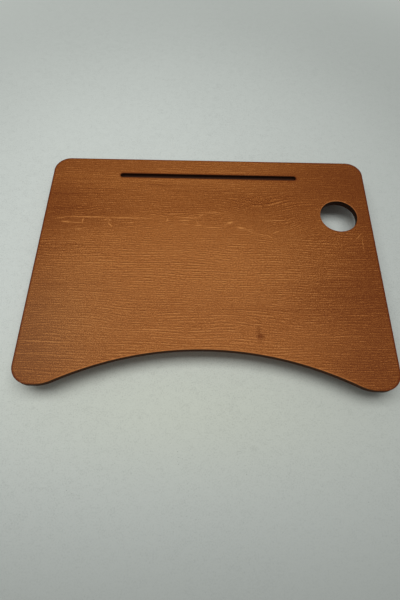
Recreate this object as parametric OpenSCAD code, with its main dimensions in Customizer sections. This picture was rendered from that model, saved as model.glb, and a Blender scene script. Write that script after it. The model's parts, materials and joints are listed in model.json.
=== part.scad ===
// Bed and lap table for a laptop, folded flat: a plywood panel with a cup hole and a tablet
// groove, two folding leg frames between two aprons, and a shallow drawer on the left.
// +X is the user's right, +Y the far edge, +Z up. The origin is on the floor, under the middle.

/* [Panel] */
// Width of the panel, side to side
panel_w = 600; // [560:5:680]
// Depth of the panel, near edge to far edge
panel_d = 450; // [430:5:500]
// Thickness of the plywood
panel_t = 12; // [10:0.5:18]
// Radius of the four corners
corner_r = 30; // [10:1:36]
// How far the near edge is cut back in the middle
arc_depth = 60; // [40:1:68]
// Straight part of the near edge, from each side to where the curve starts
arc_from_side = 51.5; // [48:0.5:70]
// Radius that eases the curve into the straight part
arc_ease_r = 60; // [8:1:66]

/* [Cup hole] */
// Diameter of the cup hole
cup_d = 68; // [55:1:84]
// Middle of the cup hole from the right side
cup_from_side = 58; // [48:1:75]
// Middle of the cup hole from the far edge
cup_from_far = 128; // [112:1:180]

/* [Tablet groove] */
// Length of the groove over its round ends
groove_l = 340; // [200:5:400]
// Width of the groove
groove_w = 10; // [6:0.5:12]
// Depth of the groove
groove_depth = 7; // [4:0.5:8.5]
// Middle of the groove from the far edge
groove_from_far = 41; // [34:0.5:56]

/* [Aprons] */
// Thickness of each apron
apron_t = 15; // [13:0.5:18]
// Height of each apron
apron_h = 32; // [31:0.5:40]
// End of each apron from the side of the panel
apron_from_side = 16; // [12:1:20]
// Outer face of the far apron from the far edge
apron_from_far = 19; // [14:1:26]
// Outer face of the near apron from the deepest point of the curve
apron_from_arc = 18; // [15:1:26]
// Radius of the lower corners of each apron
apron_end_r = 14; // [6:1:18]

/* [Leg frames] */
// Pivot from the side of the panel
pivot_from_side = 38; // [34:1:44]
// Pivot below the underside of the panel
pivot_drop = 14; // [13:0.5:15]
// Width of a post, along the pivot
post_w = 28; // [22:1:32]
// Thickness of a post
post_t = 20; // [17:0.5:21]
// Gap between the feet of the two folded frames
feet_gap = 28; // [16:1:40]
// Outward lean of the open legs, in degrees
leg_lean = 8; // [5:0.5:11]
// Width of the stretcher between two posts, along the post
stretcher_w = 25; // [18:1:32]
// Thickness of the stretcher
stretcher_t = 16; // [12:0.5:17]
// Stretcher from the foot of the post
stretcher_from_foot = 22; // [14:1:30]

/* [Pivots] */
// Diameter of the pivot bolts
bolt_d = 6; // [5:0.5:7]
// Diameter of the bolt's flat head
bolt_head_d = 15; // [12:0.5:17]
// Thickness of the bolt's flat head
bolt_head_t = 2.4; // [2:0.1:3.5]
// Nut across its flats
nut_flats = 10; // [9:0.5:11]
// Thickness of the nut
nut_t = 6; // [5:0.5:7]
// Diameter of the recess that hides the nut
nut_recess_d = 15; // [14:0.5:17]
// Thickness of the washer between apron and post
washer_t = 1.5; // [1:0.1:2.5]
// Diameter of the washer
washer_d = 16; // [13:0.5:18]

/* [Drawer] */
// Thickness of the drawer's front
front_t = 10; // [8:0.5:12]
// Height of the drawer's front
front_h = 27; // [24:0.5:28]
// Thickness of the drawer's sides and back
wall_t = 10; // [9:0.5:12]
// Height of the drawer's sides
wall_h = 25; // [23:0.5:26]
// Thickness of the drawer's bottom
bottom_t = 3; // [2:0.25:4]
// How deep the bottom sits in the walls
bottom_bite = 4; // [2:0.5:5]
// Bottom's groove above the lower edge of the walls
bottom_rise = 2; // [1.5:0.25:3]
// Length of the drawer that stays between its runners when it is out
drawer_hold = 33; // [26:1:70]
// Free length between the drawer's runners and the folded stretcher
drawer_rear_gap = 34; // [20:1:60]
// Diameter of the knob
knob_d = 14; // [10:0.5:17]
// How far the knob stands out
knob_l = 13; // [9:0.5:15]

/* [Drawer stop] */
// Diameter of the peg under the panel
peg_d = 10; // [9:0.5:12]
// How far the peg hangs below the top of the drawer's sides
peg_catch = 6; // [4:0.5:7]
// Thickness of the tab on the drawer's back that meets the peg
tab_t = 4; // [3:0.5:6]
// Width of the tab
tab_w = 36; // [28:1:60]
// Height of the tab
tab_h = 20; // [18:0.5:22]

/* [Runners] */
// Thickness of a runner, without its tongue
runner_t = 12; // [10:0.5:15]
// Height of a runner
runner_h = 24; // [20:0.5:28]
// How far the tongue reaches into the drawer's side
tongue_reach = 4; // [3:0.25:5]
// Thickness of the tongue
tongue_t = 5; // [4:0.25:6.5]
// Top of the tongue below the underside of the panel
tongue_drop = 9.5; // [8:0.25:11]
// Screws from the ends of a runner
runner_screw_from_end = 24; // [12:1:50]

/* [Screws and dowels] */
// Diameter of the wood screws
screw_d = 4; // [3:0.25:4.5]
// Diameter of their countersunk heads
screw_head_d = 8; // [6.5:0.5:9]
// How deep a screw bites into the piece that it holds on to
screw_bite = 8; // [6:0.5:8.5]
// How deep the stretcher's screws bite
stretcher_bite = 26; // [18:1:34]
// Screws in each apron
apron_screws_n = 3; // [2:1:5]
// Outer screws from the ends of the apron
apron_screw_from_end = 60; // [50:1:90]
// Diameter of the drawer's dowels
dowel_d = 4; // [3:0.25:4.5]
// Length of the drawer's dowels
dowel_l = 16; // [12:1:18]

/* [Rubber] */
// Thickness of the bumpers under the aprons
bumper_t = 2; // [1.5:0.25:4]
// Diameter of the bumpers
bumper_d = 12; // [9:0.5:14]
// Middle of a bumper from the end of the apron
bumper_from_end = 26; // [20:1:60]
// Thickness of the rubber feet
foot_t = 3; // [2:0.25:5]
// How far a foot stays inside the end of its post
foot_inset = 1.5; // [0.5:0.25:3]

/* [Fits] */
// Radial gap of bolts, screws and dowels in their holes
bore_gap = 0.05; // [0.02:0.01:0.1]
// Gap between pieces that slide past each other
slide_gap = 0.3; // [0.2:0.05:0.5]
// Side gap between the posts and the drawer
side_gap = 2; // [1.5:0.25:3]
// Gap above the drawer's walls
lid_gap = 2; // [1.5:0.25:3]
// Wood left between a screw's head and the groove or edge beside it
head_margin = 0.5; // [0.25:0.25:1]

/* [Hidden] */
$fn = 72;

LEFT = -1;
RIGHT = 1;
NEAR = -1;
FAR = 1;
wood = "sienna";
pale_wood = "burlywood";
steel = "silver";
rubber = [0.16, 0.15, 0.15];
past = 1; // a cut runs this far past the face that it opens

// heights
panel_z = bumper_t + apron_h; // underside of the panel
pivot_z = panel_z - pivot_drop;

// curve of the near edge: a circle through its two ends and its deepest point
arc_half = panel_w / 2 - arc_from_side;
arc_r = (arc_half * arc_half + arc_depth * arc_depth) / (2 * arc_depth);
near_y = -panel_d / 2;
far_y = panel_d / 2;
arc_y = near_y + arc_depth - arc_r; // its centre
ease_x = sqrt(arc_depth * (2 * arc_r + 2 * arc_ease_r - arc_depth));
ease_y = near_y + arc_ease_r;

cup_x = panel_w / 2 - cup_from_side;
cup_y = far_y - cup_from_far;
groove_y = far_y - groove_from_far;

// aprons: inner faces, and the posts that stand next to them
apron_half = panel_w / 2 - apron_from_side;
far_apron_y = far_y - apron_from_far - apron_t;
near_apron_y = near_y + arc_depth + apron_from_arc;
far_post_y = far_apron_y - washer_t - post_w;
near_post_y = near_apron_y + apron_t + washer_t;

// leg frames: reach is from the pivot to the end of the wood, square to the floor when open
pivot_x = panel_w / 2 - pivot_from_side;
end_r = pivot_drop - slide_gap; // the post's top end turns just under the panel
leg_reach = (pivot_x - feet_gap / 2) * cos(leg_lean) - foot_t - post_t / 2 * sin(leg_lean);
leg_u = (leg_reach - post_t / 2 * sin(leg_lean)) / cos(leg_lean); // shorter edge of the post
stretcher_u = leg_u - stretcher_from_foot - stretcher_w;
window_y0 = near_post_y + post_w;
window_y1 = far_post_y;
window_mid = (window_y0 + window_y1) / 2;

// drawer, between the posts of the left frame
front_x = -apron_half; // its front is flush with the ends of the aprons
box_x0 = front_x + front_t;
runner_x0 = box_x0 + slide_gap;
runner_x1 = -pivot_x + stretcher_u - drawer_rear_gap;
box_x1 = runner_x1 - 6 * slide_gap;
runner_far_y = window_y1 - side_gap - runner_t;
runner_near_y = window_y0 + side_gap + runner_t;
box_y0 = runner_near_y + slide_gap;
box_y1 = runner_far_y - slide_gap;
wall_z0 = panel_z - lid_gap - wall_h;
front_z0 = panel_z - lid_gap / 2 - front_h;
tongue_z0 = panel_z - tongue_drop - tongue_t;
bottom_z0 = wall_z0 + bottom_rise;
back_h = wall_h - peg_catch - 2 * slide_gap; // the drawer's back passes under the peg
peg_h = lid_gap + peg_catch;
peg_x = box_x0 + drawer_hold - peg_d / 2;

// screws
screw_r = screw_d / 2;
head_r = screw_head_d / 2;
head_h = head_r - screw_r;
knob_z = front_z0 + front_h / 2;
knob_screw_bite = knob_l - 5; // it ends 5 mm inside the knob's face

// ---------------------------------------------------------------- small helpers

// Extrudes a shape drawn in X and Z along Y, from y0 for t
module along_y(y0, t) {
    translate([0, y0 + t, 0]) rotate([90, 0, 0]) linear_extrude(t) children();
}

// Round rod along Y
module rod_y(r, y0, y1) {
    translate([0, y0, 0]) rotate([-90, 0, 0]) cylinder(r = r, h = y1 - y0);
}

// Board from one corner to the opposite one
module board(a, b) {
    translate(a) cube(b - a);
}

// Countersunk wood screw along +Z, its head's face at z = 0; gap widens it into its own hole
module screw_form(length, gap = 0) {
    cylinder(r1 = head_r + gap, r2 = screw_r + gap, h = head_h);
    cylinder(r = screw_r + gap, h = length - screw_r);
    translate([0, 0, length - screw_r]) cylinder(r1 = screw_r + gap, r2 = 0.4 + gap, h = screw_r + gap);
}

module screw(length) {
    slot_w = screw_d * 0.28;
    slot_l = screw_d * 1.3;
    slot_h = head_h * 0.7;
    color(steel) difference() {
        screw_form(length);
        for (turn = [0, 90]) rotate(turn)
            translate([-slot_l / 2, -slot_w / 2, -past]) cube([slot_l, slot_w, slot_h + past]);
    }
}

// Hole for a screw whose head lies at the bottom of a straight hole of some depth
module screw_hole(length, depth = 0) {
    screw_form(length, bore_gap);
    translate([0, 0, -depth - past]) cylinder(r = head_r + bore_gap, h = depth + past + 0.01);
}

// ---------------------------------------------------------------- panel

module round_rectangle(w, d, r) {
    square([w - 2 * r, d], center = true);
    square([w, d - 2 * r], center = true);
    for (x = [-1, 1], y = [-1, 1]) translate([x * (w / 2 - r), y * (d / 2 - r)]) circle(r);
}

// The sharp tip between the curve and the straight part of the near edge, which the ease takes off
module ease_tip() {
    share = arc_r / (arc_r + arc_ease_r);
    tip_x = ease_x * share;
    tip_y = arc_y + (ease_y - arc_y) * share;
    difference() {
        polygon([[tip_x, tip_y], [ease_x, near_y], [ease_x, near_y - past], [tip_x, near_y - past]]);
        translate([ease_x, ease_y]) circle(arc_ease_r);
    }
}

module panel_outline() {
    difference() {
        round_rectangle(panel_w, panel_d, corner_r);
        translate([0, arc_y]) circle(arc_r, $fn = 360);
        for (side = [0, 1]) mirror([side, 0]) ease_tip();
    }
}

module top_panel() {
    color(wood) difference() {
        translate([0, 0, panel_z]) linear_extrude(panel_t) panel_outline();
        translate([cup_x, cup_y, panel_z - past]) cylinder(d = cup_d, h = panel_t + 2 * past);
        translate([0, groove_y, panel_z + panel_t - groove_depth]) groove();
        apron_screws_at() screw_hole(apron_screw_l);
        runner_screws_at() screw_hole(runner_screw_l);
        peg_screw_at() screw_hole(peg_screw_l);
    }
}

module groove() {
    half = (groove_l - groove_w) / 2;
    translate([-half, -groove_w / 2, 0]) cube([2 * half, groove_w, groove_depth + past]);
    for (x = [-half, half]) translate([x, 0, 0]) cylinder(d = groove_w, h = groove_depth + past);
}

// ---------------------------------------------------------------- aprons

apron_screw_depth = 8;
apron_screw_l = apron_h - apron_screw_depth + screw_bite;

// The screws run up through the apron from deep holes in its lower edge
module apron_screws_at() {
    reach = apron_half - apron_screw_from_end;
    for (y = [far_apron_y + apron_t / 2, near_apron_y + apron_t / 2], n = [0 : apron_screws_n - 1])
        translate([-reach + 2 * reach * n / (apron_screws_n - 1), y, bumper_t + apron_screw_depth])
            children();
}

module apron_screws() {
    apron_screws_at() screw(apron_screw_l);
}

module apron(y0, outer) {
    color(wood) difference() {
        along_y(y0, apron_t) apron_side();
        apron_screws_at() screw_hole(apron_screw_l, apron_screw_depth);
        for (side = [LEFT, RIGHT]) translate([side * pivot_x, 0, pivot_z]) {
            rod_y(bolt_d / 2 + bore_gap, y0 - past, y0 + apron_t + past);
            head_y = outer == FAR ? y0 + apron_t - bolt_head_t : y0 - past;
            rod_y(bolt_head_d / 2 + bore_gap, head_y, head_y + bolt_head_t + past);
        }
    }
}

// Apron seen from the front, with its two lower corners rounded
module apron_side() {
    translate([-apron_half, bumper_t + apron_end_r]) square([2 * apron_half, apron_h - apron_end_r]);
    translate([-apron_half + apron_end_r, bumper_t]) square([2 * (apron_half - apron_end_r), apron_h]);
    for (side = [LEFT, RIGHT])
        translate([side * (apron_half - apron_end_r), bumper_t + apron_end_r]) circle(apron_end_r);
}

module bumper(side, end) {
    y = (end == FAR ? far_apron_y : near_apron_y) + apron_t / 2;
    color(rubber) translate([side * (apron_half - bumper_from_end), y, 0]) {
        cylinder(d1 = bumper_d - bumper_t, d2 = bumper_d, h = bumper_t / 2);
        translate([0, 0, bumper_t / 2]) cylinder(d = bumper_d, h = bumper_t / 2);
    }
}

// ---------------------------------------------------------------- pivots

// Places a pivot piece drawn with the apron's outer face at y = 0 and the leg frame towards +y
module at_pivot(side, end) {
    outer_y = end == FAR ? far_apron_y + apron_t : near_apron_y;
    translate([side * pivot_x, outer_y, pivot_z]) mirror([0, end == FAR ? 1 : 0, 0]) children();
}

nut_y = apron_t + washer_t + post_w - nut_t - slide_gap; // inner face of the nut is nearly flush
module pivot_bolt(side, end) {
    color(steel) at_pivot(side, end) difference() {
        union() {
            rod_y(bolt_head_d / 2, 0, bolt_head_t);
            rod_y(bolt_d / 2, 0, nut_y + nut_t);
        }
        along_y(-past, past + bolt_head_t * 0.75) circle(d = bolt_d * 0.7, $fn = 6);
    }
}

module pivot_washers() {
    color(steel) for (side = [LEFT, RIGHT], end = [NEAR, FAR]) at_pivot(side, end) difference() {
        rod_y(washer_d / 2, apron_t, apron_t + washer_t - slide_gap / 2);
        rod_y(bolt_d / 2 + bore_gap, apron_t - past, apron_t + washer_t + past);
    }
}

module pivot_nuts() {
    color(steel) for (side = [LEFT, RIGHT], end = [NEAR, FAR]) at_pivot(side, end) difference() {
        along_y(nut_y, nut_t) circle(d = nut_flats / cos(30), $fn = 6);
        rod_y(bolt_d / 2 + bore_gap, nut_y - past, nut_y + nut_t + past);
    }
}

// ---------------------------------------------------------------- leg frames

// Frame coordinates: the pivot at the origin, +X along the folded post to its foot, +Z up.
// The right frame is the left one mirrored.
module at_frame(side) {
    translate([side * pivot_x, 0, pivot_z]) mirror([side == RIGHT ? 1 : 0, 0, 0]) children();
}

// Everything past a distance from the pivot, with its edge square to the open leg's upright:
// way is 1 towards the foot and -1 towards the top
module past_square(distance, way) {
    size = 2 * leg_reach;
    rotate(leg_lean) translate([way > 0 ? distance : -distance - size, -size / 2]) square(size);
}

// A post from the side: its top end is round, with a flat that stops under the panel when the
// leg is open, and its foot is cut to stand flat on the floor
module post_side() {
    difference() {
        translate([-end_r - past, -post_t / 2]) square([leg_reach + end_r + post_t, post_t]);
        past_square(end_r, -1);
        past_square(leg_reach, 1);
        rotate(leg_lean) difference() {
            translate([-2 * end_r, 0]) square(2 * end_r);
            circle(end_r);
        }
    }
}

module post(side, end) {
    y0 = end == FAR ? far_post_y : near_post_y;
    color(wood) difference() {
        at_frame(side) along_y(y0, post_w) post_side();
        at_pivot(side, end) {
            rod_y(bolt_d / 2 + bore_gap, apron_t, apron_t + washer_t + post_w + past);
            rod_y(nut_recess_d / 2, nut_y - slide_gap, apron_t + washer_t + post_w + past);
        }
        stretcher_screws_at(side) screw_hole(post_w + stretcher_bite);
    }
}

module stretcher(side) {
    color(wood) difference() {
        at_frame(side) board([stretcher_u, window_y0, -stretcher_t / 2],
                             [stretcher_u + stretcher_w, window_y1, stretcher_t / 2]);
        stretcher_screws_at(side) screw_hole(post_w + stretcher_bite);
    }
}

// Two screws through each post into the end of the stretcher, with their heads in the outer face
module stretcher_screws_at(side) {
    at_frame(side) for (share = [0.25, 0.75]) {
        u = stretcher_u + stretcher_w * share;
        translate([u, near_post_y, 0]) rotate([-90, 0, 0]) children();
        translate([u, far_post_y + post_w, 0]) rotate([90, 0, 0]) children();
    }
}

module stretcher_screws(side) {
    stretcher_screws_at(side) screw(post_w + stretcher_bite);
}

// Rubber pad on the foot of a post
module foot(side, end) {
    y0 = (end == FAR ? far_post_y : near_post_y) + foot_inset;
    middle = -leg_reach * tan(leg_lean);
    half = post_t / 2 / cos(leg_lean) - foot_inset;
    color(rubber) at_frame(side) along_y(y0, post_w - 2 * foot_inset)
        rotate(leg_lean) translate([leg_reach, middle - half]) square([foot_t, 2 * half]);
}

// ---------------------------------------------------------------- runners and stop

runner_screw_depth = 3;
runner_screw_l = runner_h - runner_screw_depth + screw_bite;

module runner_screws_at() {
    for (x = [runner_x0 + runner_screw_from_end, runner_x1 - runner_screw_from_end],
         y = [runner_far_y + runner_t / 2, runner_near_y - runner_t / 2])
        translate([x, y, panel_z - runner_h + runner_screw_depth]) children();
}

module runner_screws() {
    runner_screws_at() screw(runner_screw_l);
}

module runner(end) {
    batten_y = end == FAR ? runner_far_y : runner_near_y - runner_t;
    tongue_y = end == FAR ? runner_far_y - tongue_reach : runner_near_y;
    color(pale_wood) difference() {
        union() {
            board([runner_x0, batten_y, panel_z - runner_h],
                  [runner_x1, batten_y + runner_t, panel_z]);
            board([runner_x0, tongue_y, tongue_z0],
                  [runner_x1, tongue_y + tongue_reach, tongue_z0 + tongue_t]);
        }
        runner_screws_at() screw_hole(runner_screw_l, runner_screw_depth);
    }
}

peg_screw_l = peg_h + screw_bite;

module peg_screw_at() {
    translate([peg_x, window_mid, panel_z - peg_h]) children();
}

// Peg under the panel, which stops the tab on the drawer's back when the drawer is out
module stop_peg() {
    color(pale_wood) difference() {
        translate([peg_x, window_mid, panel_z - peg_h]) cylinder(d = peg_d, h = peg_h);
        peg_screw_at() screw_hole(peg_screw_l);
    }
}

module stop_peg_screw() {
    peg_screw_at() screw(peg_screw_l);
}

// ---------------------------------------------------------------- drawer

module drawer_front() {
    color(wood) difference() {
        board([front_x, window_y0 + side_gap, front_z0],
              [box_x0, window_y1 - side_gap, front_z0 + front_h]);
        bottom_slot();
        dowels_at() dowel_form(bore_gap);
        knob_screw_at() screw_hole(front_t + knob_screw_bite);
    }
}

// A side, with the groove that its runner's tongue slides in
module drawer_side(end) {
    y0 = end == FAR ? box_y1 - wall_t : box_y0;
    groove_y0 = end == FAR ? box_y1 - tongue_reach : box_y0 - past;
    color(pale_wood) difference() {
        board([box_x0, y0, wall_z0], [box_x1, y0 + wall_t, wall_z0 + wall_h]);
        board([box_x0 - past, groove_y0, tongue_z0 - slide_gap],
              [box_x1 + past, groove_y0 + tongue_reach + past, tongue_z0 + tongue_t + slide_gap]);
        bottom_slot();
        dowels_at() dowel_form(bore_gap);
        drawer_screws_at() screw_hole(back_screw_l);
    }
}

// Lower than the sides, so that it passes under the peg
module drawer_back() {
    color(pale_wood) difference() {
        board([box_x1 - wall_t, box_y0 + wall_t, wall_z0], [box_x1, box_y1 - wall_t, wall_z0 + back_h]);
        bottom_slot();
        drawer_screws_at() screw_hole(back_screw_l);
        tab_screws_at() screw_hole(tab_screw_l);
    }
}

bottom_x0 = box_x0 - bottom_bite;
bottom_x1 = box_x1 - wall_t + bottom_bite;
bottom_y0 = box_y0 + wall_t - bottom_bite;
bottom_y1 = box_y1 - wall_t + bottom_bite;

module drawer_bottom() {
    color(pale_wood) board([bottom_x0, bottom_y0, bottom_z0],
                           [bottom_x1, bottom_y1, bottom_z0 + bottom_t]);
}

// Groove round the inside of the drawer that holds its bottom
module bottom_slot() {
    board([bottom_x0 - bore_gap, bottom_y0 - bore_gap, bottom_z0 - bore_gap],
          [bottom_x1 + bore_gap, bottom_y1 + bore_gap, bottom_z0 + bottom_t + bore_gap]);
}

// Dowels that hold the sides to the front, above and below the runner's groove
module dowels_at() {
    below = (bottom_z0 + bottom_t + tongue_z0) / 2;
    above = (tongue_z0 + tongue_t + wall_z0 + wall_h) / 2;
    for (y = [box_y0 + wall_t / 2, box_y1 - wall_t / 2], z = [below, above])
        translate([box_x0, y, z]) rotate([0, 90, 0]) children();
}

module dowel_form(gap = 0) {
    in_front = front_t * 0.6;
    translate([0, 0, -in_front - gap]) cylinder(r = dowel_d / 2 + gap, h = dowel_l + 2 * gap);
}

module drawer_dowels() {
    color(pale_wood) dowels_at() dowel_form();
}

back_screw_l = 2 * wall_t + screw_bite / 2;

// Screws through the sides into the ends of the back, with their heads below the runner's groove
module drawer_screws_at() {
    z = tongue_z0 - slide_gap - head_r - head_margin;
    for (end = [NEAR, FAR])
        translate([box_x1 - wall_t / 2, end == FAR ? box_y1 : box_y0, z])
            rotate([end * 90, 0, 0]) children();
}

module drawer_screws() {
    drawer_screws_at() screw(back_screw_l);
}

module knob_screw_at() {
    translate([box_x0, window_mid, knob_z]) rotate([0, -90, 0]) children();
}

module drawer_knob_screw() {
    knob_screw_at() screw(front_t + knob_screw_bite);
}

// Turned knob: a neck that widens to a round face
module drawer_knob() {
    neck_r = knob_d * 0.3;
    face_r = knob_d / 2;
    color(wood) difference() {
        translate([front_x, window_mid, knob_z]) rotate([0, -90, 0]) rotate_extrude()
            polygon([[0, 0], [neck_r, 0], [neck_r, knob_l * 0.3], [face_r, knob_l * 0.5],
                     [face_r, knob_l * 0.8], [face_r * 0.7, knob_l], [0, knob_l]]);
        knob_screw_at() screw_hole(front_t + knob_screw_bite);
    }
}

tab_screw_l = tab_t + screw_bite;

// Tab on the outer face of the drawer's back, level with the top of the sides
module drawer_stop_tab() {
    tab_z1 = wall_z0 + wall_h;
    color(pale_wood) difference() {
        board([box_x1, window_mid - tab_w / 2, tab_z1 - tab_h],
              [box_x1 + tab_t, window_mid + tab_w / 2, tab_z1]);
        tab_screws_at() screw_hole(tab_screw_l);
    }
}

module tab_screws_at() {
    z = wall_z0 + back_h - head_r - 2 * head_margin;
    for (share = [-0.25, 0.25])
        translate([box_x1 + tab_t, window_mid + share * tab_w, z]) rotate([0, -90, 0]) children();
}

module stop_tab_screws() {
    tab_screws_at() screw(tab_screw_l);
}

// ---------------------------------------------------------------- the pieces

top_panel();
apron(far_apron_y, FAR);  // far_apron
apron(near_apron_y, NEAR);  // near_apron
apron_screws();
bumper(LEFT, FAR);  // bumper_far_left
bumper(RIGHT, FAR);  // bumper_far_right
bumper(LEFT, NEAR);  // bumper_near_left
bumper(RIGHT, NEAR);  // bumper_near_right
pivot_bolt(LEFT, FAR);  // pivot_bolt_far_left
pivot_bolt(RIGHT, FAR);  // pivot_bolt_far_right
pivot_bolt(LEFT, NEAR);  // pivot_bolt_near_left
pivot_bolt(RIGHT, NEAR);  // pivot_bolt_near_right
pivot_washers();
pivot_nuts();
post(LEFT, FAR);  // left_far_post
post(LEFT, NEAR);  // left_near_post
stretcher(LEFT);  // left_stretcher
stretcher_screws(LEFT);  // left_stretcher_screws
foot(LEFT, FAR);  // left_far_foot
foot(LEFT, NEAR);  // left_near_foot
post(RIGHT, FAR);  // right_far_post
post(RIGHT, NEAR);  // right_near_post
stretcher(RIGHT);  // right_stretcher
stretcher_screws(RIGHT);  // right_stretcher_screws
foot(RIGHT, FAR);  // right_far_foot
foot(RIGHT, NEAR);  // right_near_foot
runner(FAR);  // far_runner
runner(NEAR);  // near_runner
runner_screws();
stop_peg();
stop_peg_screw();
drawer_front();
drawer_side(FAR);  // drawer_far_side
drawer_side(NEAR);  // drawer_near_side
drawer_back();
drawer_bottom();
drawer_dowels();
drawer_screws();
drawer_knob();
drawer_knob_screw();
drawer_stop_tab();
stop_tab_screws();
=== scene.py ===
"""Finished look of a folding laptop table with a drawer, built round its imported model.

+X is the user's right, +Y the far edge and +Z up, in metres. Every piece sits where the
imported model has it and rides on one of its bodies.
"""
import json
import math

import bmesh
import bpy
from mathutils import Euler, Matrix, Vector


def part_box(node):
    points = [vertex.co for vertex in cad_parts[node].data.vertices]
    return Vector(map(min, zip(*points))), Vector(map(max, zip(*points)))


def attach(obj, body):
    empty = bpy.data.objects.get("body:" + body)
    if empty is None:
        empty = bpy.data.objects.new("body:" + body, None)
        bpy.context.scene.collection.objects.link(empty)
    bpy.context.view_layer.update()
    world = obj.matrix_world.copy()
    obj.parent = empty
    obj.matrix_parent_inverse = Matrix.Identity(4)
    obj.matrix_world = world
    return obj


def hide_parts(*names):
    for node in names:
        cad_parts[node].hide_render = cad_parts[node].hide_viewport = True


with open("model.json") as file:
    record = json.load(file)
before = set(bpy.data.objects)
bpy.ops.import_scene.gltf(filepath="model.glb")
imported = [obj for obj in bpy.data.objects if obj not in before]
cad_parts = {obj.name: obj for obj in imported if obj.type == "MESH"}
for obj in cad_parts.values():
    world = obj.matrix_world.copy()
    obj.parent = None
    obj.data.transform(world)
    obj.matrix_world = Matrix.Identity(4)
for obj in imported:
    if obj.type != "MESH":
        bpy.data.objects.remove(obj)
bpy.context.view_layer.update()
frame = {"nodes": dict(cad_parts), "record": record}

bl_info = {
    "name": "Folding laptop table",
    "version": (1, 0, 0),
    "blender": (4, 5, 0),
    "location": "View3D > Sidebar > Laptop Table",
    "description": "Builds the finished look of a folding laptop table round its packed model",
    "category": "Object",
}

MM = 0.001
PANEL_LOW, PANEL_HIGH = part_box("top_panel")
CUP = next(m for m in frame["record"]["mounts"] if m["name"] == "cup_hole")
CUP_MIDDLE = Vector(CUP["pos_m"][:2])
GROOVE_LOW, GROOVE_HIGH = next(
    o for o in frame["record"]["physics"]["openings"] if o["name"] == "tablet_groove"
)["box_m"]
GROOVE_MIDDLE = (GROOVE_LOW[1] + GROOVE_HIGH[1]) / 2


def linear(red, green, blue):
    """A colour written as it looks on a screen, 0 to 255, in Blender's linear values."""
    return tuple(
        c / 255 / 12.92 if c / 255 <= 0.04045 else ((c / 255 + 0.055) / 1.055) ** 2.4
        for c in (red, green, blue)
    )


# ------------------------ what a user may change


def length(name, description, default):
    return bpy.props.FloatProperty(
        name=name, description=description, default=default, min=0.0, unit="LENGTH"
    )


def colour(name, description, red, green, blue):
    return bpy.props.FloatVectorProperty(
        name=name, description=description, default=linear(red, green, blue),
        subtype="COLOR", size=3, min=0.0, max=1.0,
    )


def position(name, description, *default):
    return bpy.props.FloatVectorProperty(
        name=name, description=description, default=default,
        subtype="TRANSLATION", size=3, unit="LENGTH",
    )


class PanelProperties(bpy.types.PropertyGroup):
    """Sizes of the panel."""

    corner_radius: length("Corner radius", "Radius of the four corners", 0.030)
    curve_depth: length("Curve depth", "How far the near edge is cut back", 0.060)
    curve_from_side: length("Curve from side", "Straight part of the near edge", 0.0515)
    curve_ease: length("Curve ease", "Radius between curve and straight part", 0.060)
    cup_radius: length("Cup hole radius", "Radius of the cup hole", CUP["dims"]["r_mm"] * MM)
    groove_length: length("Groove length", "Length of the groove over its ends", 0.340)
    groove_width: length("Groove width", "Width of the tablet groove", 0.010)
    groove_depth: length("Groove depth", "Depth of the tablet groove", 0.007)
    top_arris: length("Top arris", "Rounding of the upper edge", 0.0010)
    low_arris: length("Lower arris", "Rounding of the lower edges", 0.0008)
    cup_arris: length("Cup hole arris", "Rounding of the cup hole's upper edge", 0.0006)
    groove_arris: length("Groove arris", "Rounding of the groove's edge", 0.0003)


class FinishProperties(bpy.types.PropertyGroup):
    """Colours of the finishes."""

    stain: colour("Stain", "Red-brown stain on the open wood", 147, 87, 37)
    stain_light: colour("Stain, light", "Stain on grain that takes little of it", 182, 122, 66)
    stain_dark: colour("Stain, dark", "Stain on grain that takes much of it", 96, 46, 14)
    # painted shade along the panel's edges, most of all at the sides
    painted_edge_shade: colour("Stain, edge", "Stain that has gathered along the edges", 86, 34, 6)
    # painted sheen: a pale haze at the near left that stands for the varnish reflecting the lamp
    painted_sheen: colour("Faded stain", "Stain bleached by the sun at the near left", 144, 116, 80)
    # lighter edges: stain rubbed thin, and on the panel's near edge and cup rim a painted
    # highlight too
    worn_edge_and_highlight: colour("Worn edge", "Stain rubbed thin on the edges", 186, 118, 66)
    ply_edge: colour("Plywood edge", "Stained edge of the plywood", 66, 40, 24)
    # dark colour of the groove and the cup hole's wall: painted shade in these recesses, with
    # pooled stain in the groove too
    groove: colour("Groove", "Stain that has pooled in the tablet groove", 44, 26, 18)
    pale_wood: colour("Bare wood", "Bare wood of the drawer and its runners", 206, 172, 128)
    pale_ply: colour("Bare plywood", "Drawer bottom and stop tab", 212, 182, 138)
    steel: colour("Zinc", "Zinc plating of screws and bolts", 172, 174, 176)
    rubber: colour("Rubber", "Bumpers and feet", 34, 33, 33)
    floor: colour("Floor", "Pale floor", 195, 201, 196)


class StageProperties(bpy.types.PropertyGroup):
    """Camera and light."""

    camera_place: position("Camera", "Where the camera stands", -0.01234, -0.35997, 0.65115)
    camera_turn: bpy.props.FloatVectorProperty(
        name="Camera turn", description="How the camera is turned", size=3, subtype="EULER",
        unit="ROTATION", default=tuple(map(math.radians, (24.9855, -0.5312, 0.9823))),
    )
    lens: bpy.props.FloatProperty(
        name="Lens", description="Focal length in millimetres", default=24.085, min=1.0
    )
    lamp_place: position("Lamp", "Middle of the soft lamp", -0.296, 0.199, 2.438)
    lamp_size: bpy.props.FloatVectorProperty(
        name="Lamp size", description="Width and depth of the soft lamp", size=2,
        unit="LENGTH", default=(3.2, 1.19),
    )
    lamp_power: bpy.props.FloatProperty(
        name="Lamp power", description="Power of the soft lamp in watts", default=60.6, min=0.0
    )
    ambient: bpy.props.FloatProperty(
        name="Ambient light", description="Light from all round", default=0.27, min=0.0
    )


# ------------------------ sums in a material


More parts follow.
